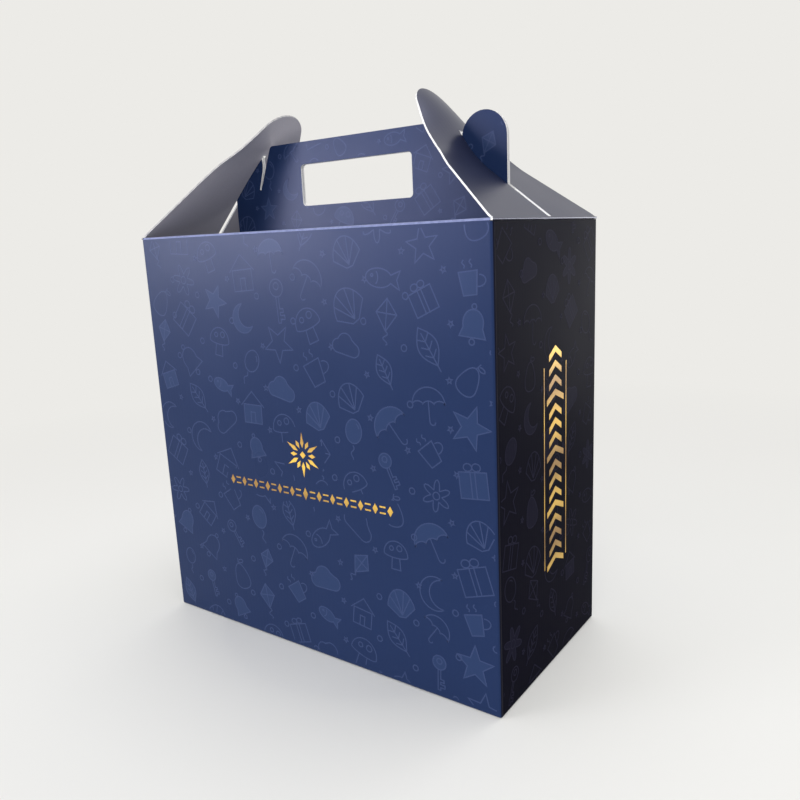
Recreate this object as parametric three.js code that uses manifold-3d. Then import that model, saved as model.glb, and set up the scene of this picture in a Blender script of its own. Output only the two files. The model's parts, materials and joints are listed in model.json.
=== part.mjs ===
// Gable carton with a carrying handle, in millimetres, +Z up.
// The origin is the centre of the base, +X runs along the wide front wall and the front faces -Y.
// One sheet of thin corrugated board is folded into four walls, a locking base, two roof panels
// and a two-ply handle. A side flap folds in from each narrow wall, and its centre slit drops
// over an ear of the handle.

import * as THREE from 'three';
import { mergeVertices } from 'three/addons/utils/BufferGeometryUtils.js';
import Module from 'manifold-3d';

// Carton, outside sizes
const width = 300;
const depth = 150;
const wallHeight = 300;
const board = 1.5;

// Folds and running gaps
const foldRadius = 1.5;
const cornerRadius = 2;
const creaseGap = 0.3;
const plyGap = 0.3;
const roofEndGap = 2.5;
const flapEdgeGap = 0.3;

// Handle, measured up from the top of the walls
const handleHeight = 64;
const handleHalfWidth = 80;
const handleCornerCut = 2.5;
const holeWidth = 100;
const holeHeight = 30;
const holeBottom = 18;
const holeCornerRadius = 3;

// Ear beyond each end of the handle, and the notch that parts it from the handle: how far out
// from the handle's shoulder, and how far below its top
const earOut = 25.3;
const earDrop = 12.7;
const earRadius = 16;
const notchOut = 13.3;
const notchDrop = 30.5;
const notchRadius = 0.9;

// Side flaps, both with one outline
const flapLength = 124;
const flapTipRadius = 22;
const slitWidth = 4.2;
const slitClearance = 1.2;

// Runs of flap board from the hinge to the tip: the first is straight, the others bend
const rootRun = 50;
const midRun = 25;
const highRun = 20;
const tipRun = 30;

// Each flap's own shape where it rides over the handle's shoulder, in degrees: its lean against
// the line to the shoulder and the turn over each run; then how it curls down at its sides
const rightSag = 5.4;
const rightMidTurn = 18.6;
const rightHighTurn = -2.5;
const rightTipTurn = -15.5;
const rightCurl = 17.6;
const rightCurlStart = 62;
const rightCurlEnd = 113;
const leftSag = -1.7;
const leftMidTurn = -4.2;
const leftHighTurn = 4.7;
const leftTipTurn = -11.5;
const leftCurl = 11.5;
const leftCurlStart = 71;
const leftCurlEnd = 113;
const curlHalfWidth = 45;

// Base: two outer halves with a hooked seam, two inner flaps and the glue tab of the walls
const seamGap = 0.6;
const hookReach = 14;
const hookInner = 26;
const hookOuter = 48;
const innerFlapLength = 68;
const innerFlapTaper = 24;
const tabWidth = 28;
const tabTaper = 14;
const tabSeam = 0.4;

// Fineness of round stretches
const arcSteps = 10;
const foldSteps = 4;
const bendStep = 3;
const curlColumns = 6;
const overcut = 1;
const mergeDistance = 1e-4;

// Places that follow from the sizes
const hingeX = (width - board) / 2;
const hingeZ = wallHeight - board / 2;
const earCentreX = handleHalfWidth + earOut;
const earCentreUp = handleHeight - earDrop;
const notchX = handleHalfWidth + notchOut;
const notchUp = handleHeight - notchDrop;

const colours = { print: 0x2e3b6b, board: 0xd9d6d2 };

const wasm = await Module();
wasm.setup();

// Turns a closed geometry into a solid that can be joined and cut
function solid(geometry) {
  const bare = geometry.clone();
  bare.deleteAttribute('normal');
  bare.deleteAttribute('uv');
  const merged = mergeVertices(bare, mergeDistance);
  const mesh = new wasm.Mesh({
    numProp: 3,
    vertProperties: new Float32Array(merged.attributes.position.array),
    triVerts: new Uint32Array(merged.index.array),
  });
  return new wasm.Manifold(mesh);
}

// Turns a finished solid back into geometry
function geometryOf(body) {
  const mesh = body.getMesh();
  const geometry = new THREE.BufferGeometry();
  geometry.setAttribute('position', new THREE.BufferAttribute(mesh.vertProperties, 3));
  geometry.setIndex(new THREE.BufferAttribute(mesh.triVerts, 1));
  geometry.computeVertexNormals();
  return geometry;
}

// Block between two corners
function block(low, high) {
  const size = high.map((value, axis) => value - low[axis]);
  const geometry = new THREE.BoxGeometry(...size);
  geometry.translate(...low.map((value, axis) => value + size[axis] / 2));
  return solid(geometry);
}

// Rectangle with round corners, centred on a point
function roundedRectangle(Kind, centreX, centreY, sizeX, sizeY, radius) {
  const path = new Kind();
  const farX = sizeX / 2 - radius;
  const farY = sizeY / 2 - radius;
  path.absarc(centreX + farX, centreY + farY, radius, 0, Math.PI / 2);
  path.absarc(centreX - farX, centreY + farY, radius, Math.PI / 2, Math.PI);
  path.absarc(centreX - farX, centreY - farY, radius, Math.PI, Math.PI * 1.5);
  path.absarc(centreX + farX, centreY - farY, radius, Math.PI * 1.5, Math.PI * 2);
  path.closePath();
  return path;
}

// Outside of the folded box: round upright corners, and round folds at top and bottom
function foldedBox() {
  const shape = roundedRectangle(
    THREE.Shape, 0, 0, width - 2 * foldRadius, depth - 2 * foldRadius, cornerRadius - foldRadius,
  );
  const geometry = new THREE.ExtrudeGeometry(shape, {
    depth: wallHeight - 2 * foldRadius,
    bevelThickness: foldRadius,
    bevelSize: foldRadius,
    bevelSegments: foldSteps,
    curveSegments: foldSteps,
  });
  geometry.translate(0, 0, foldRadius);
  return solid(geometry);
}

// Outline of one handle ply from its foot up: half of it is drawn, and the other half mirrored
function handleOutline() {
  const half = new THREE.Path();
  const toNotch = new THREE.Vector2(notchX + notchRadius - earCentreX, notchUp - earCentreUp);
  const tangent = toNotch.angle() - Math.acos(earRadius / toNotch.length());
  const edge = new THREE.Vector2(handleHalfWidth - notchX + notchRadius, handleHeight - notchUp);
  const cut = edge.clone().setLength(handleCornerCut);
  half.moveTo(0, -board);
  half.lineTo(earCentreX + earRadius, -board);
  half.absarc(earCentreX, earCentreUp, earRadius, 0, tangent);
  half.absarc(notchX, notchUp, notchRadius, 0, -Math.PI, true);
  half.lineTo(handleHalfWidth - cut.x, handleHeight - cut.y);
  half.quadraticCurveTo(
    handleHalfWidth, handleHeight, handleHalfWidth - handleCornerCut, handleHeight,
  );
  const right = half.getPoints(arcSteps);
  const left = right.slice(1).reverse().map((point) => new THREE.Vector2(-point.x, point.y));
  return new THREE.Shape([...right, ...left]);
}

// Handle ply: the outline stood upright with its front face at the given y
function handlePly(frontY) {
  const shape = handleOutline();
  shape.holes.push(roundedRectangle(
    THREE.Path, 0, holeBottom + holeHeight / 2, holeWidth, holeHeight, holeCornerRadius,
  ));
  const geometry = new THREE.ExtrudeGeometry(shape, {
    depth: board,
    bevelEnabled: false,
    curveSegments: arcSteps,
  });
  geometry.rotateX(Math.PI / 2);
  geometry.translate(0, frontY + board, wallHeight);
  return solid(geometry);
}

// Flat piece in the floor's plane, from its corner points
function floorPiece(points, bottom, thickness) {
  const shape = new THREE.Shape(points.map(([x, y]) => new THREE.Vector2(x, y)));
  const geometry = new THREE.ExtrudeGeometry(shape, { depth: thickness, bevelEnabled: false });
  geometry.translate(0, 0, bottom);
  return solid(geometry);
}

// Hooked seam between the two outer halves of the base, as a thin slot
function baseSeam() {
  const reach = width / 2 - board;
  const line = [
    [-reach, 0], [-hookOuter, 0], [-hookInner, hookReach],
    [hookInner, -hookReach], [hookOuter, 0], [reach, 0],
  ];
  const near = line.map(([x, y]) => [x, y - seamGap / 2]);
  const far = line.map(([x, y]) => [x, y + seamGap / 2]).reverse();
  return floorPiece([...near, ...far], -overcut, board + overcut);
}

// Inner base flap, glued down against a narrow wall; side is 1 or -1
function innerFlap(side) {
  const inside = depth / 2 - board;
  const root = side * (width / 2 - board);
  const tip = side * (width / 2 - board - innerFlapLength);
  const points = [
    [root, -inside], [root, inside], [tip, inside - innerFlapTaper], [tip, innerFlapTaper - inside],
  ];
  return floorPiece(side > 0 ? points : points.reverse(), board, board);
}

// Glue tab inside the rear left corner, with its ends cut on the slant
function glueTab() {
  const left = -width / 2 + board;
  const low = 2 * board;
  const high = wallHeight - board - creaseGap;
  const shape = new THREE.Shape([
    new THREE.Vector2(left, low),
    new THREE.Vector2(left + tabWidth, low + tabTaper),
    new THREE.Vector2(left + tabWidth, high - tabTaper),
    new THREE.Vector2(left, high),
  ]);
  const geometry = new THREE.ExtrudeGeometry(shape, { depth: board, bevelEnabled: false });
  geometry.rotateX(Math.PI / 2);
  geometry.translate(0, depth / 2 - board, 0);
  return solid(geometry);
}

// The whole folded sheet apart from the side flaps
function carton() {
  const inX = width / 2 - board;
  const inY = depth / 2 - board;
  const roofEnd = inX - roofEndGap;
  const wallTop = wallHeight - board - creaseGap;
  const above = wallHeight + overcut;
  const ply = plyGap / 2;
  let sheet = foldedBox().subtract(block([-inX, -inY, board], [inX, inY, wallHeight - board]));
  for (const side of [-1, 1]) {
    const ends = [side * roofEnd, side * inX].sort((a, b) => a - b);
    const edge = [side * (inX - creaseGap), side * (inX + board + overcut)].sort((a, b) => a - b);
    sheet = sheet.subtract(block([ends[0], -inY, wallTop], [ends[1], inY, above]));
    sheet = sheet.subtract(block([edge[0], -depth, wallTop], [edge[1], depth, above]));
  }
  sheet = sheet.add(handlePly(-ply - board)).add(handlePly(ply));
  sheet = sheet.subtract(
    block([-roofEnd - overcut, -ply, wallTop], [roofEnd + overcut, ply, above + handleHeight]),
  );
  sheet = sheet.subtract(baseSeam());
  sheet = sheet.subtract(block([-inX, inY, -overcut], [-inX + tabSeam, depth, wallTop]));
  return sheet.add(innerFlap(-1)).add(innerFlap(1)).add(glueTab());
}

// Place and direction along a flap's bend, at a distance from the hinge line
function bendAt(distance, lean, runs) {
  let x = 0;
  let z = 0;
  let angle = THREE.MathUtils.degToRad(lean);
  let left = distance;
  for (const [run, turn] of [...runs, [flapLength, 0]]) {
    const length = Math.min(run, left);
    const swing = THREE.MathUtils.degToRad(turn) * (length / run);
    const chord = swing === 0 ? length : (2 * length / swing) * Math.sin(swing / 2);
    x += chord * Math.cos(angle + swing / 2);
    z += chord * Math.sin(angle + swing / 2);
    angle += swing;
    left -= length;
  }
  return { x, z, angle };
}

// Half width of the flap at stations along its length: a straight taper into a round tip
function flapOutline() {
  const tipCentre = flapLength - flapTipRadius;
  const root = new THREE.Vector2(-tipCentre, depth / 2);
  const touch = Math.acos(flapTipRadius / root.length()) - root.angle() + Math.PI / 2;
  const joinAt = tipCentre + flapTipRadius * Math.sin(touch);
  const joinHalf = flapTipRadius * Math.cos(touch);
  const slope = (depth / 2 - joinHalf) / joinAt;
  const clearHalf = depth / 2 - board - flapEdgeGap;
  const tipSteps = 2 * arcSteps;
  const stations = [];
  for (let at = 0; at < joinAt - bendStep / 2; at += bendStep) {
    stations.push([at, Math.min(clearHalf, depth / 2 - slope * at)]);
  }
  for (let step = 0; step <= tipSteps; step += 1) {
    const turn = touch + (Math.PI / 2 - touch) * (step / (tipSteps + 1));
    stations.push([tipCentre + flapTipRadius * Math.sin(turn), flapTipRadius * Math.cos(turn)]);
  }
  return stations;
}

// The outline with a station added at each end of the slit
function flapRows(slitStart, slitEnd) {
  const outline = flapOutline();
  for (const end of [slitStart, slitEnd]) {
    const after = outline.findIndex(([at]) => at > end);
    const [at0, half0] = outline[after - 1];
    const [at1, half1] = outline[after];
    const half = half0 + (half1 - half0) * ((end - at0) / (at1 - at0));
    outline.splice(after, 0, [end, half]);
  }
  return outline;
}

// Sheet of board that follows a bend and curls down at its sides, with the slit left open:
// a grid of cells, closed by a cut edge wherever a cell has no neighbour
function curledSheet(side, bend) {
  const earReach = Math.hypot(hingeX - earCentreX, earCentreUp + board / 2) + earRadius;
  const slitEnd = earReach + slitClearance;
  const slitStart = board / 2 + creaseGap;
  const rows = flapRows(slitStart, slitEnd);
  const acrossCount = 2 * curlColumns + 2;
  const positions = [];
  for (const [distance, half] of rows) {
    const { x, z, angle } = bendAt(distance, bend.lean, bend.runs);
    const ramp = THREE.MathUtils.smoothstep(distance, bend.curlStart, bend.curlEnd);
    const slitHalf = Math.min(slitWidth, half) / 2;
    for (let column = 0; column < acrossCount; column += 1) {
      const fromMiddle = Math.abs(column - curlColumns - 0.5) - 0.5;
      const reach = slitHalf + (half - slitHalf) * (fromMiddle / curlColumns);
      const drop = bend.curl * ramp * (reach / curlHalfWidth) ** 2;
      for (const offset of [board / 2 - drop, -board / 2 - drop]) {
        positions.push(
          -side * (x - offset * Math.sin(angle)),
          column > curlColumns ? reach : -reach,
          z + offset * Math.cos(angle),
        );
      }
    }
  }
  const present = (row, column) => {
    const onSheet = row >= 0 && row < rows.length - 1 && column >= 0 && column < acrossCount - 1;
    const inSlit = column === curlColumns && onSheet
      && rows[row][0] >= slitStart && rows[row][0] < slitEnd;
    return onSheet && !inSlit;
  };
  const point = ([row, column], under) => 2 * (row * acrossCount + column) + under;
  const index = [];
  const quad = (a, b, c, d) => index.push(...(side < 0 ? [a, c, b, a, d, c] : [a, b, c, a, c, d]));
  for (let row = 0; row < rows.length - 1; row += 1) {
    for (let column = 0; column < acrossCount - 1; column += 1) {
      if (present(row, column)) {
        const corners = [[row, column], [row, column + 1], [row + 1, column + 1], [row + 1, column]];
        const beside = [[row - 1, column], [row, column + 1], [row + 1, column], [row, column - 1]];
        quad(...corners.map((corner) => point(corner, 0)));
        quad(...corners.map((corner) => point(corner, 1)).reverse());
        beside.forEach(([nextRow, nextColumn], edge) => {
          if (!present(nextRow, nextColumn)) {
            const from = corners[edge];
            const to = corners[(edge + 1) % corners.length];
            quad(point(from, 0), point(from, 1), point(to, 1), point(to, 0));
          }
        });
      }
    }
  }
  const geometry = new THREE.BufferGeometry();
  geometry.setAttribute('position', new THREE.Float32BufferAttribute(positions, 3));
  geometry.setIndex(index);
  return solid(geometry);
}

// Side flap about its hinge line: the round crease along the wall, and the sheet
function sideFlap(side, bend) {
  const crease = new THREE.CylinderGeometry(board / 2, board / 2, depth, 2 * arcSteps);
  return solid(crease).add(curledSheet(side, bend));
}

// Named mesh in the given colour
function piece(name, body, colour) {
  const material = new THREE.MeshStandardMaterial({ color: colour, roughness: 0.45, metalness: 0 });
  const mesh = new THREE.Mesh(geometryOf(body), material);
  mesh.name = name;
  return mesh;
}

const gableBox = new THREE.Group();
gableBox.add(piece('carton', carton(), colours.print));

const toShoulder = new THREE.Vector2(hingeX - handleHalfWidth, handleHeight + board / 2);
const shoulderLean = THREE.MathUtils.radToDeg(toShoulder.angle());
const bends = (mid, high, tip) => [[rootRun, 0], [midRun, mid], [highRun, high], [tipRun, tip]];
const flaps = [
  {
    name: 'right_flap',
    side: 1,
    lean: shoulderLean - rightSag,
    runs: bends(rightMidTurn, rightHighTurn, rightTipTurn),
    curl: rightCurl,
    curlStart: rightCurlStart,
    curlEnd: rightCurlEnd,
  },
  {
    name: 'left_flap',
    side: -1,
    lean: shoulderLean - leftSag,
    runs: bends(leftMidTurn, leftHighTurn, leftTipTurn),
    curl: leftCurl,
    curlStart: leftCurlStart,
    curlEnd: leftCurlEnd,
  },
];
for (const bend of flaps) {
  const flap = piece(bend.name, sideFlap(bend.side, bend), colours.board);
  flap.position.set(bend.side * hingeX, 0, hingeZ);
  gableBox.add(flap);
}

export default gableBox;
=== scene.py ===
"""A gable carton with a carrying handle: its board, print and foil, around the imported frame."""

import json
import math
import random

import bmesh
import bpy
from mathutils import Matrix, Vector


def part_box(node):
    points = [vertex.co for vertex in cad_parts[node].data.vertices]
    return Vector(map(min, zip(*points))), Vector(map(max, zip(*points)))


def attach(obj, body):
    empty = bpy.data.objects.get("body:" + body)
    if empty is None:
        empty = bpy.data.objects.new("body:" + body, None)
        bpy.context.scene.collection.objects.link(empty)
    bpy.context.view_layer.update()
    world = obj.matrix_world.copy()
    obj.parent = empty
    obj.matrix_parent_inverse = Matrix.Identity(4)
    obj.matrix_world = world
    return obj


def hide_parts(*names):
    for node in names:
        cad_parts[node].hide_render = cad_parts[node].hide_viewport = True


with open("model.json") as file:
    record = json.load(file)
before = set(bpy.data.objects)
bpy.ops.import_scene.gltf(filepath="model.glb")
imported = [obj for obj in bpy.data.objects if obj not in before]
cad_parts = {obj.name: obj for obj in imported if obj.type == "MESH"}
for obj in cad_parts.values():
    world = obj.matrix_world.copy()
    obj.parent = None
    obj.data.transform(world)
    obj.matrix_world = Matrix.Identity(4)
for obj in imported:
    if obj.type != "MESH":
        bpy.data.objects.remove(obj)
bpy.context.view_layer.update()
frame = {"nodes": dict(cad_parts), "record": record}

MM = 0.001

# Sizes taken from the frame
carton_low, carton_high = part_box("carton")
WIDTH = carton_high.x - carton_low.x
DEPTH = carton_high.y - carton_low.y
joints = {joint["name"]: joint for joint in frame["record"]["behaviour"]["joints"]}
HINGE = Vector(joints["right_flap_fold"]["pos_m"])

# Sizes of the folded sheet, as in the part's source
BOARD = 1.5 * MM
WALL_HEIGHT = HINGE.z + BOARD / 2
PLY_GAP = 0.3 * MM
FLAP_EDGE_GAP = 0.3 * MM
CREASE_GAP = 0.3 * MM
HANDLE_HEIGHT = 64 * MM
HANDLE_HALF_WIDTH = 80 * MM
HOLE_WIDTH = 100 * MM
HOLE_HEIGHT = 30 * MM
HOLE_BOTTOM = 18 * MM
EAR_CENTRE = Vector((105.3 * MM, 51.3 * MM))
EAR_RADIUS = 16 * MM
NOTCH_CENTRE = Vector((93.3 * MM, 33.5 * MM))
NOTCH_RADIUS = 0.9 * MM
FLAP_LENGTH = 124 * MM
FLAP_TIP_RADIUS = 22 * MM
FLAP_EDGE = 1.2 * MM
SLIT_WIDTH = 4.2 * MM
SLIT_CLEARANCE = 1.2 * MM
CURL_HALF_WIDTH = 45 * MM

# Each half of a flap's mesh across its width, and the order of a flap's materials
FLAP_COLUMNS = 9
PRINT_SLOT, LINER_SLOT, EDGE_SLOT = 0, 1, 2

# Each flap's lean, the turns over its runs of board, and the curl, its start and its full end
SHOULDER_LEAN = math.degrees(
    math.atan2(HANDLE_HEIGHT + BOARD / 2, HINGE.x - HANDLE_HALF_WIDTH)
)
BEND_RUNS = (50 * MM, 25 * MM, 20 * MM, 30 * MM)
RIGHT_BEND = (SHOULDER_LEAN - 5.4, (0, 18.6, -2.5, -15.5), (17.6 * MM, 62 * MM, 113 * MM))
LEFT_BEND = (SHOULDER_LEAN + 1.7, (0, -4.2, 4.7, -11.5), (11.5 * MM, 71 * MM, 113 * MM))

# Wave length of the board's fluted sheet, and its slant with height on the carton's cut edges
FLUTE_PITCH = 3.4 * MM
FLUTE_SLANT = 0.001

# Thickness of each print and foil, as drawn
FILM = 0.05 * MM
TONE = 0.03 * MM
FOIL = 0.14 * MM
SIDE_FILM = 0.03 * MM

# Each further line of a motif is thicker by this share, so that crossing lines never lie level.
# The small marks between motifs start at a layer above every motif's own.
LINE_RISE = 0.12
MARK_LAYER = 9

# Motifs: a line's width and longest step, spacing and size by face, and shares of the size
STROKE = 0.75 * MM
LINE_STEP = 2.2 * MM
SPACING = 31 * MM
WALL_MOTIF = 26 * MM
MOTIF = 25 * MM
HANDLE_SPACING = 25 * MM
HANDLE_MOTIF = 19 * MM
MARK_SIZE = 0.16
TONE_SHARE = 0.4
SEED = 11

# Heights of the front ornament's sunburst and of the row below it
SUN_HEIGHT = 149 * MM
ROW_HEIGHT = 121 * MM

# Camera, from the six wall corners in the photograph
CAMERA_PLACE = Vector((0.3453, -0.4385, 0.2914))
CAMERA_AZIMUTH = 35.702
CAMERA_ELEVATION = 12.148
CAMERA_ROLL = -2.579
FOCAL_PIXELS = 751.9
IMAGE_PIXELS = 800
SENSOR_MM = 36

# Colours, linear
BLUE = (0.0112, 0.0242, 0.0740)
BLUE_TONE = (0.0190, 0.0365, 0.0980)
BLUE_LINE = (0.0345, 0.0530, 0.1270)
BLUE_SHEEN = (0.64, 0.66, 1.0)
NIGHT = (0.0034, 0.0033, 0.0088)
NIGHT_TONE = (0.0085, 0.0082, 0.0190)
NIGHT_LINE = (0.0150, 0.0145, 0.0300)
# The flaps' outer face: the walls' night print made lighter and bluer, painted light on the
# up-facing flaps
NIGHT_FLAP_LIT = (0.0130, 0.0160, 0.0370)
# Painted highlight: the light caught by the rounded top folds of the wide sides
FOLD_HIGHLIGHT = (0.220, 0.250, 0.430)
LINER = (0.52, 0.50, 0.56)
LINER_CLOUD = (0.40, 0.40, 0.42)
CUT = (0.80, 0.80, 0.79)
# The left flap's cut edge: the cut colour darkened, painted shade
CUT_SHADED = (0.34, 0.34, 0.35)
FLUTE = (0.62, 0.61, 0.60)
GOLD_DEEP = (0.24, 0.125, 0.050)
GOLD_PALE = (0.74, 0.47, 0.085)
PALE = (0.84, 0.83, 0.80)
FLOOR = (0.80, 0.80, 0.785)

# How strongly the films mirror, as the shader's specular level, and how rough they are
FILM_GLOSS = 0.13
NIGHT_GLOSS = 0.008
FLAP_GLOSS = 0.78
BLUE_ROUGH = 0.30
NIGHT_ROUGH = 0.46
NIGHT_BOARD_ROUGH = 0.42
FLAP_ROUGH = 0.34


class Shader:
    """A material's node tree, with short calls for the nodes used here."""

    def __init__(self, name):
        self.material = bpy.data.materials.new(name)
        self.material.use_nodes = True
        self.tree = self.material.node_tree
        self.surface = self.tree.nodes["Principled BSDF"]

    def node(self, kind, **settings):
        made = self.tree.nodes.new(kind)
        for key, value in settings.items():
            setattr(made, key, value)
        return made

    def feed(self, value, socket):
        if isinstance(value, bpy.types.NodeSocket):
            self.tree.links.new(value, socket)
        elif socket.type == "RGBA" and len(value) == 3:
            socket.default_value = (*value, 1)
        else:
            socket.default_value = value

    def math(self, operation, first, second=0.0, third=0.0):
        made = self.node("ShaderNodeMath", operation=operation)
        for value, socket in zip((first, second, third), made.inputs):
            self.feed(value, socket)
        return made.outputs[0]

    def above(self, value, level):
        return self.math("GREATER_THAN", value, level)

    def below(self, value, level):
        return self.math("LESS_THAN", value, level)

    def every(self, *masks):
        result = masks[0]
        for mask in masks[1:]:
            result = self.math("MULTIPLY", result, mask)
        return result

    def mix(self, factor, first, second):
        made = self.node("ShaderNodeMix", data_type="RGBA")
        self.feed(factor, made.inputs["Factor"])
        self.feed(first, made.inputs[6])
        self.feed(second, made.inputs[7])
        return made.outputs[2]

    def blend(self, factor, first, second):
        made = self.node("ShaderNodeMix", data_type="FLOAT")
        self.feed(factor, made.inputs["Factor"])
        self.feed(first, made.inputs[2])
        self.feed(second, made.inputs[3])
        return made.outputs[0]

    def noise(self, vector, scale, detail=2.0):
        made = self.node("ShaderNodeTexNoise")
        self.feed(vector, made.inputs["Vector"])
        made.inputs["Scale"].default_value = scale
        made.inputs["Detail"].default_value = detail
        return made.outputs["Fac"]

    def spread(self, value, low, high, to_low, to_high):
        made = self.node("ShaderNodeMapRange")
        for number, socket in zip((value, low, high, to_low, to_high), made.inputs):
            self.feed(number, socket)
        return made.outputs[0]

    def bump(self, height, strength, distance, normal=None):
        made = self.node("ShaderNodeBump")
        made.inputs["Strength"].default_value = strength
        made.inputs["Distance"].default_value = distance
        self.feed(height, made.inputs["Height"])
        if normal is not None:
            self.feed(normal, made.inputs["Normal"])
        return made.outputs["Normal"]

    def place(self):
        return self.node("ShaderNodeTexCoord").outputs["Object"]

    def split(self, vector):
        made = self.node("ShaderNodeSeparateXYZ")
        self.feed(vector, made.inputs[0])
        return made.outputs

    def own_normal(self):
        return self.node("ShaderNodeTexCoord").outputs["Normal"]


def flute_wave(shader, along):
    """A sine that follows the flutes along the board."""
    return shader.math("SINE", shader.math("MULTIPLY", along, 2 * math.pi / FLUTE_PITCH))


def board_relief(shader, place, along):
    """Bump of laminated fluted board: faint flutes, slow waves and a fine film grain."""
    flutes = flute_wave(shader, along)
    waves = shader.noise(place, 14, 1.0)
    grain = shader.noise(place, 1800, 2.0)
    normal = shader.bump(waves, 0.35, 1.2 * MM)
    normal = shader.bump(flutes, 0.10, 0.05 * MM, normal)
    return shader.bump(grain, 0.06, 0.05 * MM, normal)


def scaled(colour, share, lift=0.0):
    return [value * share + lift for value in colour]


def film_print(shader, place, colour, rough):
    """Colour and roughness of a print under satin film, a little uneven and lightly rubbed."""
    cloud = shader.noise(place, 9, 3.0)
    rub = shader.spread(shader.noise(place, 260, 4.0), 0.62, 0.80, 0.0, 1.0)
    tint = shader.mix(cloud, scaled(colour, 0.90), scaled(colour, 1.10))
    tint = shader.mix(shader.math("MULTIPLY", rub, 0.10), tint, scaled(colour, 1.6, 0.01))
    roughness = shader.spread(cloud, 0.3, 0.7, rough - 0.03, rough + 0.04)
    return tint, roughness


def cut_board(shader, across, along):
    """Colour of a cut edge: two liners with the fluted sheet waving between them."""
    middle = BOARD / 2
    centre = shader.math("MULTIPLY_ADD", flute_wave(shader, along), 0.42 * MM, middle)
    from_flute = shader.math("ABSOLUTE", shader.math("SUBTRACT", across, centre))
    from_middle = shader.math("ABSOLUTE", shader.math("SUBTRACT", across, middle))
    hollow = shader.every(
        shader.above(from_flute, 0.22 * MM), shader.below(from_middle, 0.46 * MM),
    )
    return shader.mix(hollow, CUT, FLUTE)


def carton_material():
    """The sheet's finish: blue on the wide sides and roof, night on the narrow, white inside,
    with a painted highlight along the wide sides' top folds.
    """
    shader = Shader("carton_board")
    place = shader.place()
    x, y, z = shader.split(place)
    facing_x, facing_y, _ = shader.split(shader.own_normal())
    side_x = shader.math("ABSOLUTE", x)
    side_y = shader.math("ABSOLUTE", y)
    turned_x = shader.math("ABSOLUTE", facing_x)
    turned_y = shader.math("ABSOLUTE", facing_y)
    blue, rough = film_print(shader, place, BLUE, BLUE_ROUGH)
    night, rough_night = film_print(shader, place, NIGHT, NIGHT_BOARD_ROUGH)
    slack = 0.1 * MM
    narrow = shader.every(
        shader.above(turned_x, turned_y), shader.above(side_x, WIDTH / 2 - BOARD * 1.4),
    )
    colour = shader.mix(narrow, blue, night)
    roughness = shader.blend(narrow, rough, rough_night)
    inside = shader.every(
        shader.below(side_x, WIDTH / 2 - BOARD + slack),
        shader.below(side_y, DEPTH / 2 - BOARD + slack),
        shader.below(z, WALL_HEIGHT - BOARD + slack),
        shader.above(z, BOARD - slack),
    )
    colour = shader.mix(inside, colour, LINER)
    roughness = shader.blend(inside, roughness, 0.75)
    stands = shader.every(shader.above(z, WALL_HEIGHT + 0.05 * MM), shader.below(turned_y, 0.6))
    roof_end = shader.every(
        shader.above(turned_x, 0.7),
        shader.above(z, WALL_HEIGHT - BOARD - CREASE_GAP),
        shader.below(side_x, WIDTH / 2 - BOARD),
    )
    # A painted highlight: a lavender line along the front and rear top folds, where their rounded
    # crease catches the light
    fold_highlight = shader.every(
        shader.above(side_y, DEPTH / 2 - 1.4 * MM), shader.above(z, WALL_HEIGHT - 1.4 * MM),
        shader.spread(shader.noise(place, 420, 3.0), 0.35, 0.6, 0.75, 1.0),
    )
    colour = shader.mix(fold_highlight, colour, FOLD_HIGHLIGHT)
    cut = shader.math("MAXIMUM", stands, roof_end)
    across = shader.math("SUBTRACT", side_y, PLY_GAP / 2)
    along = shader.math("ADD", x, shader.math("MULTIPLY", z, FLUTE_SLANT))
    colour = shader.mix(cut, colour, cut_board(shader, across, along))
    roughness = shader.blend(cut, roughness, 0.8)
    shader.surface.inputs["Specular IOR Level"].default_value = FILM_GLOSS
    shader.surface.inputs["Specular Tint"].default_value = (*BLUE_SHEEN, 1)
    shader.feed(colour, shader.surface.inputs["Base Color"])
    shader.feed(roughness, shader.surface.inputs["Roughness"])
    run = shader.blend(narrow, x, y)
    shader.feed(board_relief(shader, place, run), shader.surface.inputs["Normal"])
    return shader.material


def film_material(name, colour, rough, gloss, along_axis):
    """A print under satin film, on a piece of its own."""
    shader = Shader(name)
    place = shader.place()
    tint, roughness = film_print(shader, place, colour, rough)
    shader.feed(tint, shader.surface.inputs["Base Color"])
    shader.feed(roughness, shader.surface.inputs["Roughness"])
    shader.surface.inputs["Specular IOR Level"].default_value = gloss
    shader.surface.inputs["Specular Tint"].default_value = (*BLUE_SHEEN, 1)
    along = shader.split(place)[along_axis]
    shader.feed(board_relief(shader, place, along), shader.surface.inputs["Normal"])
    return shader.material


def liner_material():
    """Unprinted inner liner: pale, matt and faintly fibrous."""
    shader = Shader("inner_liner")
    place = shader.place()
    fibre = shader.noise(place, 900, 5.0)
    cloud = shader.noise(place, 30, 2.0)
    tint = shader.mix(fibre, scaled(LINER, 0.90), scaled(LINER, 1.08))
    tint = shader.mix(shader.math("MULTIPLY", cloud, 0.2), tint, LINER_CLOUD)
    shader.feed(tint, shader.surface.inputs["Base Color"])
    shader.surface.inputs["Roughness"].default_value = 0.7
    along = shader.split(place)[1]
    normal = shader.bump(fibre, 0.15, 0.05 * MM, board_relief(shader, place, along))
    shader.feed(normal, shader.surface.inputs["Normal"])
    return shader.material


def edge_material(name, cut):
    """Cut edge of the board, with a soft trace of the flutes."""
    shader = Shader(name)
    place = shader.place()
    wave = flute_wave(shader, shader.split(place)[1])
    grain = shader.noise(place, 1200, 3.0)
    tint = shader.mix(shader.spread(wave, -1, 1, 0, 0.35), cut, FLUTE)
    shader.feed(tint, shader.surface.inputs["Base Color"])
    shader.surface.inputs["Roughness"].default_value = 0.8
    shader.feed(shader.bump(grain, 0.3, 0.1 * MM), shader.surface.inputs["Normal"])
    return shader.material


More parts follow.
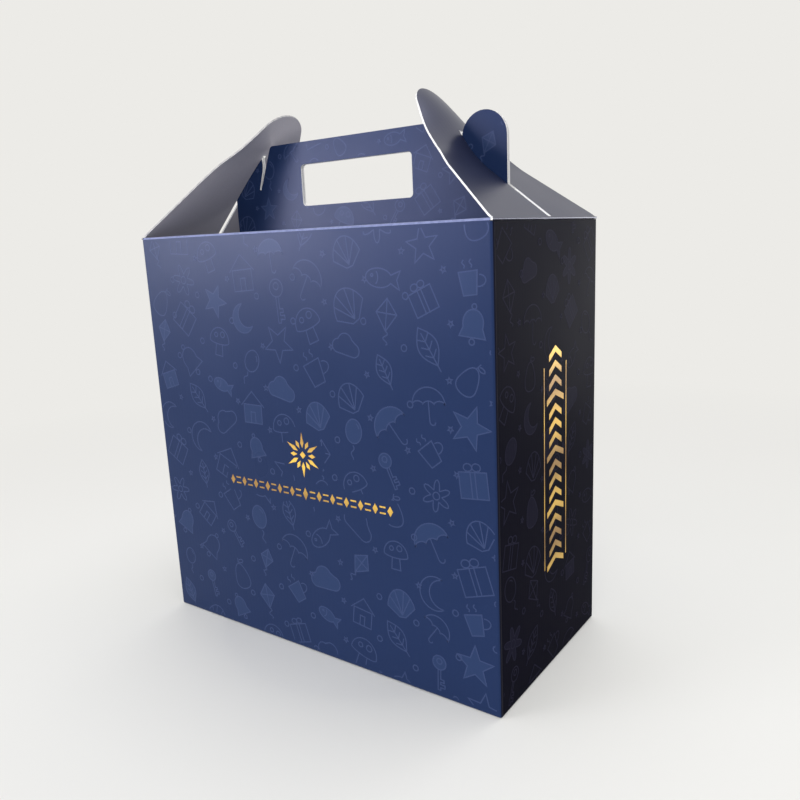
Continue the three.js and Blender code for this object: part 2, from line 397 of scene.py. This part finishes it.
def foil_material():
    """Hot-stamped gold foil: satin metal, its colour banded from deep to pale gold by height and
    width, a painted sheen.
    """
    shader = Shader("gold_foil")
    place = shader.place()
    x, _, z = shader.split(place)
    # Painted sheen: bands of deep and pale gold that follow height and width
    sheen_sweep = shader.math("ADD", shader.math("MULTIPLY", x, 18), shader.math("MULTIPLY", z, 120))
    wave = shader.math("SINE", shader.math("ADD", sheen_sweep, 3.6))
    shift = shader.spread(wave, -1, 1, 0.18, 1.0)
    tint = shader.mix(shift, GOLD_DEEP, GOLD_PALE)
    speck = shader.noise(place, 1500, 3.0)
    shader.feed(tint, shader.surface.inputs["Base Color"])
    shader.surface.inputs["Metallic"].default_value = 0.75
    shader.feed(shader.spread(speck, 0.3, 0.7, 0.34, 0.50), shader.surface.inputs["Roughness"])
    shader.feed(shader.bump(speck, 0.15, 0.04 * MM), shader.surface.inputs["Normal"])
    return shader.material


def mesh_object(name, vertices, faces, materials, face_slots=None):
    """An object from plain mesh data, with each face's material slot."""
    mesh = bpy.data.meshes.new(name)
    mesh.from_pydata([tuple(vertex) for vertex in vertices], [], faces)
    for material in materials:
        mesh.materials.append(material)
    if face_slots:
        mesh.polygons.foreach_set("material_index", face_slots)
    work = bmesh.new()
    work.from_mesh(mesh)
    bmesh.ops.recalc_face_normals(work, faces=work.faces)
    work.to_mesh(mesh)
    work.free()
    made = bpy.data.objects.new(name, mesh)
    bpy.context.scene.collection.objects.link(made)
    return made


# The side flaps

def bend_at(distance, lean, turns):
    """Place and direction along a flap's bend, at a distance from the hinge line."""
    x = z = 0.0
    angle = math.radians(lean)
    left = distance
    for run, turn in (*zip(BEND_RUNS, turns), (FLAP_LENGTH, 0)):
        length = min(run, left)
        swing = math.radians(turn) * length / run
        chord = length if swing == 0 else 2 * length / swing * math.sin(swing / 2)
        x += chord * math.cos(angle + swing / 2)
        z += chord * math.sin(angle + swing / 2)
        angle += swing
        left -= length
    return x, z, angle


def flap_stations():
    """Distance and half width along the flap: a straight taper into a round tip."""
    tip_centre = FLAP_LENGTH - FLAP_TIP_RADIUS
    root = Vector((-tip_centre, DEPTH / 2))
    touch = math.acos(FLAP_TIP_RADIUS / root.length) - math.atan2(root.y, root.x) + math.pi / 2
    join_at = tip_centre + FLAP_TIP_RADIUS * math.sin(touch)
    slope = (DEPTH / 2 - FLAP_TIP_RADIUS * math.cos(touch)) / join_at
    limit = DEPTH / 2 - BOARD - FLAP_EDGE_GAP
    straight = 80
    turned = 48
    stations = []
    for step in range(straight):
        at = join_at * step / straight
        stations.append((at, min(limit, DEPTH / 2 - slope * at)))
    for step in range(turned):
        turn = touch + (math.pi / 2 - touch) * step / (turned - 0.4)
        stations.append((
            tip_centre + FLAP_TIP_RADIUS * math.sin(turn), FLAP_TIP_RADIUS * math.cos(turn),
        ))
    return stations


def flap_rows(slit_start, slit_end):
    """The stations, with one more at each end of the slit."""
    stations = flap_stations()
    widths = dict(stations)
    for extra in (slit_start, slit_end):
        after = next(index for index, (at, half) in enumerate(stations) if at > extra)
        (at0, half0), (at1, half1) = stations[after - 1], stations[after]
        widths[extra] = half0 + (half1 - half0) * (extra - at0) / (at1 - at0)
    return sorted(widths.items())


def flap_vertices(side, bend, rows):
    """Both faces of the flap, bent along its length and cupped across it, row by row."""
    lean, turns, (curl, curl_start, curl_end) = bend
    vertices = []
    for at, half in rows:
        x, z, angle = bend_at(at, lean, turns)
        ramp = max(0.0, min(1.0, (at - curl_start) / (curl_end - curl_start)))
        ramp *= ramp * (3 - 2 * ramp)
        start = min(SLIT_WIDTH, half) / 2
        steps = FLAP_COLUMNS - 1
        spans = [start + (half - start) * step / steps for step in range(FLAP_COLUMNS)]
        for y in [-span for span in reversed(spans)] + spans:
            drop = curl * ramp * (y / CURL_HALF_WIDTH) ** 2
            for face in (1, -1):
                offset = face * FLAP_EDGE / 2 - drop
                vertices.append(Vector((
                    side * (HINGE.x - x + offset * math.sin(angle)),
                    y,
                    HINGE.z + z + offset * math.cos(angle),
                )))
    return vertices


def flap_faces(rows, slit_start, slit_end):
    """Faces of the flap with the slit left open, and the material slot of each."""
    across = 2 * FLAP_COLUMNS

    def point(row, column, under):
        return 2 * (row * across + column) + under

    def present(row, column):
        if not (0 <= row < len(rows) - 1 and 0 <= column < across - 1):
            return False
        in_slit = slit_start - 1e-9 <= rows[row][0] < slit_end - 1e-9
        return not (column == FLAP_COLUMNS - 1 and in_slit)

    faces = []
    slots = []
    for row in range(len(rows) - 1):
        for column in range(across - 1):
            if not present(row, column):
                continue
            corners = ((row, column), (row, column + 1), (row + 1, column + 1), (row + 1, column))
            faces.append([point(*corner, 0) for corner in corners])
            faces.append([point(*corner, 1) for corner in reversed(corners)])
            slots += [PRINT_SLOT, LINER_SLOT]
            beside = ((row - 1, column), (row, column + 1), (row + 1, column), (row, column - 1))
            for index, (next_row, next_column) in enumerate(beside):
                if not present(next_row, next_column):
                    a, b = corners[index], corners[(index + 1) % 4]
                    faces.append([point(*a, 0), point(*a, 1), point(*b, 1), point(*b, 0)])
                    slots.append(EDGE_SLOT)
    return faces, slots


def crease(side, first):
    """The round crease at the flap's root, with its vertices numbered from first."""
    steps = 16
    vertices = []
    for y in (-DEPTH / 2, DEPTH / 2):
        for step in range(steps):
            around = 2 * math.pi * step / steps
            vertices.append(Vector((
                side * HINGE.x + BOARD / 2 * math.cos(around), y,
                HINGE.z + BOARD / 2 * math.sin(around),
            )))
    far = first + steps
    faces = []
    for step in range(steps):
        after = (step + 1) % steps
        faces.append([first + step, first + after, far + after, far + step])
    faces.append([first + step for step in range(steps)])
    faces.append([far + step for step in reversed(range(steps))])
    return vertices, faces, [PRINT_SLOT] * steps + [EDGE_SLOT] * 2


def side_flap(name, side, bend, materials):
    """A flap of board with its slit. The materials are the print, the liner and the cut edge."""
    reach = (Vector((HINGE.x, -BOARD / 2)) - EAR_CENTRE).length + EAR_RADIUS
    slit_start = BOARD / 2 + CREASE_GAP
    slit_end = reach + SLIT_CLEARANCE
    rows = flap_rows(slit_start, slit_end)
    vertices = flap_vertices(side, bend, rows)
    faces, slots = flap_faces(rows, slit_start, slit_end)
    root_vertices, root_faces, root_slots = crease(side, len(vertices))
    made = mesh_object(
        name, vertices + root_vertices, faces + root_faces, materials, slots + root_slots,
    )
    made.data.shade_smooth()
    made.data.set_sharp_from_angle(angle=math.radians(35))
    return made


# Line motifs, each in a square of side 1 about its centre, as (points, closed)

def arc(cx, cy, rx, ry, start, end, steps=14):
    angles = [math.radians(start + (end - start) * step / steps) for step in range(steps + 1)]
    return [Vector((cx + rx * math.cos(a), cy + ry * math.sin(a))) for a in angles]


def ring(cx, cy, rx, ry=None, steps=22):
    return arc(cx, cy, rx, rx if ry is None else ry, 0, 360 - 360 / steps, steps - 1), True


def path(*points, closed=False):
    return [Vector(point) for point in points], closed


def star():
    points = [
        Vector((0, 0.5 if step % 2 == 0 else 0.21)) @ Matrix.Rotation(math.pi * step / 5, 2)
        for step in range(10)
    ]
    return [(points, True)]


def leaf():
    edge = [Vector((0.24 * math.sin(math.pi * t / 14), -0.36 + 0.86 * t / 14)) for t in range(15)]
    other = [Vector((-point.x, point.y)) for point in reversed(edge[1:-1])]
    veins = [
        path((0, y), (side * 0.15, y + 0.12)) for y in (-0.18, 0.0, 0.18) for side in (-1, 1)
    ]
    return [(edge + other, True), path((0, -0.5), (0, 0.38)), *veins]


def cloud():
    left = arc(-0.28, -0.08, 0.19, 0.19, 270, 100)
    middle = arc(-0.05, 0.1, 0.24, 0.22, 160, 25)
    right = arc(0.28, -0.08, 0.19, 0.19, 80, -90)
    return [(left + middle + right, True)]


def cup():
    body = path((-0.3, 0.2), (-0.22, -0.36), (0.14, -0.36), (0.22, 0.2), closed=True)
    handle = arc(0.22, -0.04, 0.2, 0.14, 80, -100), False
    steam = [
        ([Vector((x + 0.03 * math.sin(t), 0.28 + 0.028 * t)) for t in range(8)], False)
        for x in (-0.14, 0.06)
    ]
    return [body, handle, *steam]


def bell():
    left = [Vector((-0.34, -0.26)), *arc(-0.02, 0.06, 0.24, 0.3, 200, 90, 8)]
    right = [Vector((-point.x, point.y)) for point in reversed(left)]
    return [(left + right, True), ring(0, -0.36, 0.07, steps=12), ring(0, 0.43, 0.06, steps=12)]


def kite():
    tail = [Vector((0.06 * math.sin(t * 0.9), -0.2 - 0.03 * t)) for t in range(11)]
    return [
        path((0, 0.5), (0.27, 0.18), (0, -0.2), (-0.27, 0.18), closed=True),
        path((0, 0.5), (0, -0.2)), path((-0.27, 0.18), (0.27, 0.18)), (tail, False),
    ]


def key():
    return [
        ring(0, 0.29, 0.2), ring(0, 0.33, 0.08, steps=12),
        path((-0.04, 0.1), (-0.04, -0.5), (0.04, -0.5), (0.04, -0.42), (0.17, -0.42),
             (0.17, -0.33), (0.04, -0.33), (0.04, -0.26), (0.14, -0.26), (0.14, -0.18),
             (0.04, -0.18), (0.04, 0.1)),
    ]


def shell():
    rim = arc(0, -0.3, 0.46, 0.66, 15, 165, 16)
    ribs = [path((0, -0.36), tuple(rim[index])) for index in (3, 6, 10, 13)]
    return [(rim + [Vector((-0.1, -0.42)), Vector((0.1, -0.42))], True), *ribs]


def umbrella():
    dome = arc(0, 0, 0.46, 0.42, 0, 180, 16)
    scallops = []
    for centre in (-0.306, 0.0, 0.306):
        scallops += arc(centre, 0, 0.153, 0.09, 180, 0, 6)
    return [
        (dome + scallops, True), path((0, 0.09), (0, -0.4)),
        (arc(0.08, -0.4, 0.08, 0.09, 180, 350, 8), False),
    ]


def mushroom():
    cap = arc(0, 0.02, 0.42, 0.42, 0, 180, 14) + arc(0, 0.02, 0.42, 0.1, 180, 360, 10)[1:-1]
    return [
        (cap, True), path((-0.13, -0.06), (-0.16, -0.44), (0.16, -0.44), (0.13, -0.06)),
        ring(-0.15, 0.2, 0.07, steps=12), ring(0.13, 0.24, 0.09, steps=12),
    ]


def flower():
    petals = []
    for step in range(60):
        around = 2 * math.pi * step / 60
        reach = 0.30 + 0.13 * math.cos(6 * around)
        petals.append(Vector((reach * math.cos(around), reach * math.sin(around))))
    return [(petals, True), ring(0, 0, 0.1, steps=14)]


def balloon():
    string = [Vector((0.04 * math.sin(t * 0.8), -0.16 - 0.035 * t)) for t in range(11)]
    shine = arc(0.02, 0.22, 0.14, 0.18, 20, 75, 6)
    return [ring(0, 0.19, 0.24, 0.3), (string, False), (shine, False)]


def gift():
    bows = [(arc(side * 0.11, 0.31, 0.11, 0.09, 0, 330, 12), True) for side in (-1, 1)]
    return [
        path((-0.36, -0.42), (0.36, -0.42), (0.36, 0.2), (-0.36, 0.2), closed=True),
        path((-0.06, -0.42), (-0.06, 0.2)), path((0.06, -0.42), (0.06, 0.2)), *bows,
    ]


def moon():
    outer = arc(0, 0, 0.42, 0.42, 60, 300, 20)
    inner = arc(0.2, 0, 0.36, 0.36, 270, 90, 14)
    return [(outer + inner, True)]


def pear():
    outline = []
    for step in range(36):
        around = 2 * math.pi * step / 36
        waist = 0.30 - 0.10 * math.sin(around) - 0.03 * math.cos(2 * around)
        outline.append(Vector((waist * math.cos(around), -0.08 + 0.38 * math.sin(around))))
    leaflet = arc(0.14, 0.36, 0.1, 0.05, 180, 500)
    return [(outline, True), path((0, 0.29), (0.05, 0.47)), (leaflet, False)]


def fish():
    body = arc(-0.08, 0, 0.34, 0.2, 25, 335, 22)
    tail = [Vector((0.46, -0.2)), Vector((0.38, 0)), Vector((0.46, 0.2))]
    gill = arc(-0.22, 0, 0.12, 0.16, -55, 55, 6)
    return [(body + tail, True), ring(-0.26, 0.04, 0.03, steps=8), (gill, False)]


def house():
    return [
        path((-0.32, -0.42), (0.32, -0.42), (0.32, 0.08), (-0.32, 0.08), closed=True),
        path((-0.42, 0.04), (0, 0.44), (0.42, 0.04)),
        path((-0.08, -0.42), (-0.08, -0.12), (0.08, -0.12), (0.08, -0.42)),
    ]


MOTIFS = (
    star, leaf, cloud, cup, bell, kite, key, shell, umbrella, mushroom, flower, balloon, gift,
    moon, pear, fish, house,
)


def tidy_runs(points, closed, allowed):
    """Splits a line into the runs that lie on allowed ground."""
    inside = [allowed(point) for point in points]
    if all(inside):
        return [(points, closed)]
    runs = []
    current = []
    order = list(range(len(points)))
    if closed:
        start = inside.index(False)
        order = order[start:] + order[:start + 1]
    for index in order:
        if inside[index]:
            current.append(points[index])
        else:
            runs.append(current)
            current = []
    runs.append(current)
    return [(run, False) for run in runs if len(run) > 2]


def finer(points, closed, longest):
    """Adds points so that no step of the line is longer than the given length."""
    result = []
    count = len(points)
    for index in range(count if closed else count - 1):
        here = points[index]
        there = points[(index + 1) % count]
        cuts = max(1, math.ceil((there - here).length / longest))
        result += [here.lerp(there, cut / cuts) for cut in range(cuts)]
    if not closed:
        result.append(points[-1])
    return result


class Print:
    """Gathers thin closed ribbons and plates of ink or foil on a flat face."""

    def __init__(self, origin, right, up, thickness):
        self.origin = Vector(origin)
        self.right = Vector(right)
        self.up = Vector(up)
        self.out = self.right.cross(self.up)
        self.thickness = thickness
        self.vertices = []
        self.faces = []

    def lift(self, point, height):
        return self.origin + self.right * point.x + self.up * point.y + self.out * height

    def ribbon(self, points, closed, width, thickness):
        count = len(points)
        first = len(self.vertices)
        for index, point in enumerate(points):
            before = points[index - 1] if closed or index else point
            after = points[(index + 1) % count] if closed or index < count - 1 else point
            along = (after - before).normalized()
            into = (point - before).normalized() if point != before else along
            across = Vector((-along.y, along.x))
            lean = max(0.55, abs(across.dot(Vector((-into.y, into.x)))))
            half = across * (width / 2 / lean)
            for place, height in (
                (point + half, 0), (point - half, 0),
                (point - half, thickness), (point + half, thickness),
            ):
                self.vertices.append(self.lift(place, height))
        for index in range(count if closed else count - 1):
            here = first + 4 * index
            there = first + 4 * ((index + 1) % count)
            for corner in range(4):
                after = (corner + 1) % 4
                self.faces.append([here + corner, here + after, there + after, there + corner])
        if not closed:
            last = first + 4 * (count - 1)
            self.faces.append([first, first + 1, first + 2, first + 3])
            self.faces.append([last + 3, last + 2, last + 1, last])

    def plate(self, points):
        count = len(points)
        first = len(self.vertices)
        for height in (0, self.thickness):
            self.vertices += [self.lift(point, height) for point in points]
        self.faces.append([first + index for index in reversed(range(count))])
        self.faces.append([first + count + index for index in range(count)])
        for index in range(count):
            after = (index + 1) % count
            self.faces.append([
                first + index, first + after, first + count + after, first + count + index,
            ])

    def motif(self, lines, centre, size, turn, allowed, tone=None, start=0):
        """Draws a motif's lines, each a little above the last, and fills its outline on tone."""
        spin = Matrix.Rotation(turn, 2)
        for index, (points, closed) in enumerate(lines, start):
            placed = [centre + spin @ (point * size) for point in points]
            fine = finer(placed, closed, LINE_STEP)
            for run, whole in tidy_runs(fine, closed, allowed):
                self.ribbon(run, whole, STROKE, self.thickness * (1 + LINE_RISE * index))
            if tone and closed and index == 0 and all(allowed(point) for point in fine):
                tone.plate(placed)

    def build(self, name, material):
        made = mesh_object(name, self.vertices, self.faces, [material])
        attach(made, "carton")
        return made


def scatter(sheet, tone, low, high, allowed, rng, spacing, size):
    """Fills a face with turned motifs in staggered rows, and small marks between them."""
    span = Vector(high) - Vector(low)
    columns = max(1, round(span.x / spacing))
    rows = max(1, round(span.y / spacing))
    step = Vector((span.x / columns, span.y / rows))
    deck = []
    for row in range(-1, rows + 1):
        for column in range(-1, columns + 1):
            if not deck:
                deck = list(MOTIFS)
                rng.shuffle(deck)
            shift = 0.5 if column % 2 else 0.0
            jitter = Vector((rng.uniform(-0.1, 0.1), rng.uniform(-0.1, 0.1)))
            cell = Vector((column + 0.5, row + 0.5 + shift)) + jitter
            centre = Vector(low) + Vector((cell.x * step.x, cell.y * step.y))
            turn = rng.uniform(-0.7, 0.7)
            scale = size * rng.uniform(0.85, 1.15)
            filled = tone if rng.random() < TONE_SHARE else None
            sheet.motif(deck.pop()(), centre, scale, turn, allowed, filled)
            mark = centre + Vector((0.5 * step.x, 0.52 * step.y))
            small = rng.choice((ring(0, 0, 0.5, steps=10), (star()[0][0], True)))
            sheet.motif([small], mark, size * MARK_SIZE, turn, allowed, start=MARK_LAYER)


def printed(name, origin, right, up, low, high, allowed, spacing, size, line, fill, lift=0.0):
    """A face's line motifs as one piece, and the tone inside some of them as another."""
    out = Vector(right).cross(Vector(up)) * lift
    sheet = Print(Vector(origin) + out, right, up, FILM)
    tone = Print(Vector(origin) + out, right, up, TONE)
    scatter(sheet, tone, low, high, allowed, rng, spacing, size)
    sheet.build(name + "_lines", line)
    tone.build(name + "_tone", fill)


def within(low, high, margin):
    """A test for points inside a rectangle."""
    def test(point):
        beside = low[0] + margin < point.x < high[0] - margin
        level = low[1] + margin < point.y < high[1] - margin
        return beside and level
    return test


# Handle outline, to keep its print on the board

def handle_half():
    """Right half of the handle's outline, from its foot round to the middle of its top."""
    to_notch = NOTCH_CENTRE + Vector((NOTCH_RADIUS, 0)) - EAR_CENTRE
    tangent = math.atan2(to_notch.y, to_notch.x) + 2 * math.pi
    tangent -= math.acos(EAR_RADIUS / to_notch.length)
    ear = arc(*EAR_CENTRE, EAR_RADIUS, EAR_RADIUS, 0, math.degrees(tangent), 24)
    notch = arc(*NOTCH_CENTRE, NOTCH_RADIUS, NOTCH_RADIUS, 0, -180, 6)
    return [
        Vector((EAR_CENTRE.x + EAR_RADIUS, 0)), *ear, *notch,
        Vector((HANDLE_HALF_WIDTH, HANDLE_HEIGHT)), Vector((0, HANDLE_HEIGHT)),
    ]


def on_handle(point):
    """Whether a point lies on the handle ply, off its edges and its hand hole."""
    margin = 0.8 * MM
    half = Vector((abs(point.x), point.y))
    if half.y < margin:
        return False
    hole_x = HOLE_WIDTH / 2 + margin
    if half.x < hole_x and HOLE_BOTTOM - margin < half.y < HOLE_BOTTOM + HOLE_HEIGHT + margin:
        return False
    outline = [Vector((0, 0)), *handle_half()]
    crossings = 0
    for index, here in enumerate(outline):
        there = outline[(index + 1) % len(outline)]
        if (here.y > half.y) != (there.y > half.y):
            reach = here.x + (half.y - here.y) / (there.y - here.y) * (there.x - here.x)
            crossings += half.x < reach
        gap = there - here
        if gap.length and 0 < index < len(outline) - 1:
            along = max(0.0, min(1.0, (half - here).dot(gap) / gap.length_squared))
            if (here + gap * along - half).length < margin:
                return False
    return crossings % 2 == 1


# Foil ornaments

def lozenge(centre, half_x, half_y):
    cx, cy = centre
    return [
        Vector((cx - half_x, cy)), Vector((cx, cy - half_y)),
        Vector((cx + half_x, cy)), Vector((cx, cy + half_y)),
    ]


def bar(centre, half_x, half_y):
    cx, cy = centre
    return [
        Vector((cx - half_x, cy - half_y)), Vector((cx + half_x, cy - half_y)),
        Vector((cx + half_x, cy + half_y)), Vector((cx - half_x, cy + half_y)),
    ]


def front_ornament(foil):
    """A sunburst of tapered rays over a row of lozenges and bars."""
    centre = Vector((0, SUN_HEIGHT))
    rays = 12
    for step in range(rays):
        spin = Matrix.Rotation(2 * math.pi * step / rays, 2)
        tip = (16 if step % 2 == 0 else 11.5) * MM
        shape = [
            Vector((0, 5 * MM)), Vector((1.5 * MM, 8.5 * MM)), Vector((0, tip)),
            Vector((-1.5 * MM, 8.5 * MM)),
        ]
        foil.plate([centre + spin @ point for point in shape])
    foil.plate(lozenge(centre, 2.6 * MM, 2.6 * MM))
    for side in (-1, 1):
        for index in range(6):
            outer = side * (12.5 + 12 * index) * MM
            foil.plate(lozenge((outer, ROW_HEIGHT), 2.2 * MM, 3.6 * MM))
            inner = side * (6.5 + 12 * index) * MM
            for rise in (-2.1 * MM, 2.1 * MM):
                foil.plate(bar((inner, ROW_HEIGHT + rise), 2.4 * MM, 0.55 * MM))
    foil.plate(lozenge((0, ROW_HEIGHT), 2.2 * MM, 4.6 * MM))


def side_ornament(foil):
    """A tall ladder of chevrons between two fine rules."""
    low = 70 * MM
    pitch = 9.4 * MM
    rise = 5.5 * MM
    thick = 4.0 * MM
    for index in range(16):
        reach = (13 if index % 4 == 0 else 9.5) * MM
        base = low + pitch * index
        for side in (-1, 1):
            foil.plate([
                Vector((0, base + rise)), Vector((side * reach, base)),
                Vector((side * reach, base + thick)), Vector((0, base + rise + thick)),
            ][::side])
    for side in (-1, 1):
        foil.plate(bar((side * 17 * MM, low + 7.5 * pitch), 0.5 * MM, 7.2 * pitch))


def clear_of_foil(allowed):
    """Keeps line motifs out from under the front ornament."""
    def test(point):
        off_sun = (point - Vector((0, SUN_HEIGHT))).length > 19 * MM
        off_row = abs(point.x) > 78 * MM or abs(point.y - ROW_HEIGHT) > 8 * MM
        return off_sun and off_row and allowed(point)
    return test


# Build

blue_line = film_material("line_print", BLUE_LINE, BLUE_ROUGH, FILM_GLOSS, 0)
blue_tone = film_material("tone_print", BLUE_TONE, BLUE_ROUGH, FILM_GLOSS, 0)
night_line = film_material("night_line_print", NIGHT_LINE, NIGHT_ROUGH, NIGHT_GLOSS, 1)
night_tone = film_material("night_tone_print", NIGHT_TONE, NIGHT_ROUGH, NIGHT_GLOSS, 1)
night_film = film_material("night_film", NIGHT, NIGHT_ROUGH, NIGHT_GLOSS, 1)
# The flaps' film takes the lighter, bluer copy of the night print, painted light
flap_film = film_material("flap_film", NIGHT_FLAP_LIT, FLAP_ROUGH, FLAP_GLOSS, 1)
foil = foil_material()

carton = frame["nodes"]["carton"]
carton.data.materials.clear()
carton.data.materials.append(carton_material())

flap_liner = liner_material()
# The left flap's cut edge takes the darkened cut colour, painted shade
for name, side, bend, cut in (
    ("right_flap", 1, RIGHT_BEND, CUT), ("left_flap", -1, LEFT_BEND, CUT_SHADED),
):
    edge = edge_material(name + "_edge", cut)
    flap = side_flap(name + "_board", side, bend, [flap_film, flap_liner, edge])
    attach(flap, name)
    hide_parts(name)

rng = random.Random(SEED)
wall_low = (-WIDTH / 2, 0)
wall_high = (WIDTH / 2, WALL_HEIGHT)
wall = within(wall_low, wall_high, 2.2 * MM)
for name, side, allowed in (("front", -1, clear_of_foil(wall)), ("rear", 1, wall)):
    printed(
        name + "_wall", (0, side * DEPTH / 2, 0), (-side, 0, 0), (0, 0, 1),
        wall_low, wall_high, allowed, SPACING, WALL_MOTIF, blue_line, blue_tone,
    )

ply_face = PLY_GAP / 2 + BOARD
handle_end = EAR_CENTRE.x + EAR_RADIUS
overlap = 6 * MM
for name, side in (("front", -1), ("rear", 1)):
    printed(
        name + "_handle", (0, side * ply_face, WALL_HEIGHT), (-side, 0, 0), (0, 0, 1),
        (-handle_end, -overlap), (handle_end, HANDLE_HEIGHT + overlap), on_handle,
        HANDLE_SPACING, HANDLE_MOTIF, blue_line, blue_tone,
    )

roof_half = WIDTH / 2 - 6 * MM
roof_low = (-roof_half, 0)
roof_high = (roof_half, DEPTH / 2 - ply_face)
roof = within(roof_low, roof_high, 2.5 * MM)
for name, side in (("front", -1), ("rear", 1)):
    printed(
        name + "_roof", (0, side * DEPTH / 2, WALL_HEIGHT), (-side, 0, 0), (0, -side, 0),
        roof_low, roof_high, roof, SPACING, MOTIF, blue_line, blue_tone,
    )

side_low = (-DEPTH / 2, 0)
side_high = (DEPTH / 2, WALL_HEIGHT)
film_edge = DEPTH / 2 - 2 * MM
film_foot = 1.5 * MM
film_top = WALL_HEIGHT - 1.8 * MM
for name, side in (("right_wall", 1), ("left_wall", -1)):
    origin = (side * WIDTH / 2, 0, 0)
    film = Print(origin, (0, side, 0), (0, 0, 1), SIDE_FILM)
    film.plate([
        Vector((-film_edge, film_foot)), Vector((film_edge, film_foot)),
        Vector((film_edge, film_top)), Vector((-film_edge, film_top)),
    ])
    film.build(name + "_film", night_film)
    printed(
        name, origin, (0, side, 0), (0, 0, 1), side_low, side_high,
        within(side_low, side_high, 2.6 * MM), SPACING, MOTIF, night_line, night_tone, SIDE_FILM,
    )

front_foil = Print((0, -DEPTH / 2, 0), (1, 0, 0), (0, 0, 1), FOIL)
front_ornament(front_foil)
front_foil.build("front_foil", foil)
side_foil = Print((WIDTH / 2 + SIDE_FILM, 5 * MM, 0), (0, 1, 0), (0, 0, 1), FOIL)
side_ornament(side_foil)
side_foil.build("side_foil", foil)


# Stage, light and camera

def floor_material():
    """Pale floor near the carton, easing into an even pale tone further off."""
    shader = Shader("studio_floor")
    place = shader.place()
    length = shader.node("ShaderNodeVectorMath", operation="LENGTH")
    shader.feed(place, length.inputs[0])
    far = shader.spread(length.outputs["Value"], 0.12, 1.0, 0.0, 1.0)
    far = shader.math("POWER", far, 0.5)
    rays = shader.node("ShaderNodeLightPath").outputs
    seen = shader.math("MAXIMUM", rays["Is Camera Ray"], rays["Is Glossy Ray"])
    seen = shader.math("MAXIMUM", seen, rays["Is Transmission Ray"])
    factor = shader.math("MULTIPLY", far, seen)
    shader.surface.inputs["Base Color"].default_value = (*FLOOR, 1)
    shader.surface.inputs["Roughness"].default_value = 0.5
    shader.surface.inputs["Specular IOR Level"].default_value = 0.12
    glow = shader.node("ShaderNodeEmission")
    shader.feed(PALE, glow.inputs["Color"])
    joined = shader.node("ShaderNodeMixShader")
    shader.feed(factor, joined.inputs[0])
    shader.feed(shader.surface.outputs[0], joined.inputs[1])
    shader.feed(glow.outputs[0], joined.inputs[2])
    output = shader.tree.nodes["Material Output"]
    shader.tree.links.new(joined.outputs[0], output.inputs["Surface"])
    return shader.material


bpy.ops.mesh.primitive_circle_add(vertices=96, radius=9, fill_type="NGON")
floor = bpy.context.object
floor.name = "studio_floor"
floor.location.z = carton_low.z - 0.2 * MM
floor.data.materials.append(floor_material())

scene = bpy.context.scene


def studio_world():
    """Soft light, dim below and brighter high behind, with the plain background seen instead."""
    world = bpy.data.worlds.new("studio")
    world.use_nodes = True
    tree = world.node_tree

    def node(kind, *feeds):
        made = tree.nodes.new(kind)
        for feed, socket in zip(feeds, made.inputs):
            tree.links.new(feed, socket)
        return made

    def ease(socket, low, high):
        made = node("ShaderNodeMapRange", socket)
        made.interpolation_type = "SMOOTHSTEP"
        for index, number in enumerate((low, high, 0.0, 1.0)):
            made.inputs[index + 1].default_value = number
        return made.outputs[0]

    ways = node("ShaderNodeSeparateXYZ", node("ShaderNodeTexCoord").outputs["Generated"]).outputs
    strength = node("ShaderNodeMath", ease(ways[1], 0.1, 0.8), ease(ways[2], 0.12, 0.5))
    strength.operation = "MULTIPLY_ADD"
    strength.inputs[2].default_value = 0.32
    soft = tree.nodes["Background"]
    soft.inputs["Color"].default_value = (1, 1, 1, 1)
    tree.links.new(strength.outputs[0], soft.inputs["Strength"])
    shown = node("ShaderNodeBackground")
    shown.inputs["Color"].default_value = (*PALE, 1)
    rays = node("ShaderNodeLightPath").outputs
    seen = rays["Is Camera Ray"]
    for way in ("Is Glossy Ray", "Is Transmission Ray"):
        either = node("ShaderNodeMath", seen, rays[way])
        either.operation = "MAXIMUM"
        seen = either.outputs[0]
    choice = node("ShaderNodeMixShader", seen, soft.outputs[0], shown.outputs[0])
    tree.links.new(choice.outputs[0], tree.nodes["World Output"].inputs["Surface"])
    return world


scene.world = studio_world()


def area_light(name, place, aim, size, power, spread=180, tint=(1, 1, 1)):
    """A softbox. Its spread is the angle of its beam in degrees."""
    data = bpy.data.lights.new(name, "AREA")
    data.shape = "RECTANGLE"
    data.size, data.size_y = size
    data.energy = power
    data.spread = math.radians(spread)
    data.color = tint
    made = bpy.data.objects.new(name, data)
    made.location = place
    made.rotation_euler = (Vector(aim) - Vector(place)).to_track_quat("-Z", "Y").to_euler()
    made.visible_camera = False
    scene.collection.objects.link(made)


area_light(
    "key_softbox", (-1.57, -1.81, 0.49), (0, 0, 0.29), (1.25, 0.61), 6.6, 70, (0.95, 0.95, 1.0),
)
area_light("fill_softbox", (0.85, -1.35, 0.75), (0, 0, 0.25), (1.0, 1.0), 13)
area_light("rim_softbox", (0.36, 0.66, 0.26), (0.15, 0.05, 0.22), (0.25, 0.45), 0.22, 60)
area_light("top_softbox", (0.1, 0.0, 1.6), (0, 0, 0.2), (1.2, 1.2), 12)

camera_data = bpy.data.cameras.new("camera")
camera_data.sensor_width = SENSOR_MM
camera_data.lens = SENSOR_MM * FOCAL_PIXELS / IMAGE_PIXELS
camera_data.clip_start = 0.01
camera = bpy.data.objects.new("camera", camera_data)
scene.collection.objects.link(camera)
scene.camera = camera
azimuth = math.radians(CAMERA_AZIMUTH)
elevation = math.radians(CAMERA_ELEVATION)
back = Vector((
    math.sin(azimuth) * math.cos(elevation), -math.cos(azimuth) * math.cos(elevation),
    math.sin(elevation),
))
level = Vector((math.cos(azimuth), math.sin(azimuth), 0))
rise = back.cross(level)
roll = math.radians(CAMERA_ROLL)
right = level * math.cos(roll) + rise * math.sin(roll)
up = rise * math.cos(roll) - level * math.sin(roll)
turned = Matrix((right, up, back)).transposed().to_4x4()
camera.matrix_world = Matrix.Translation(CAMERA_PLACE) @ turned

scene.view_settings.view_transform = "Standard"
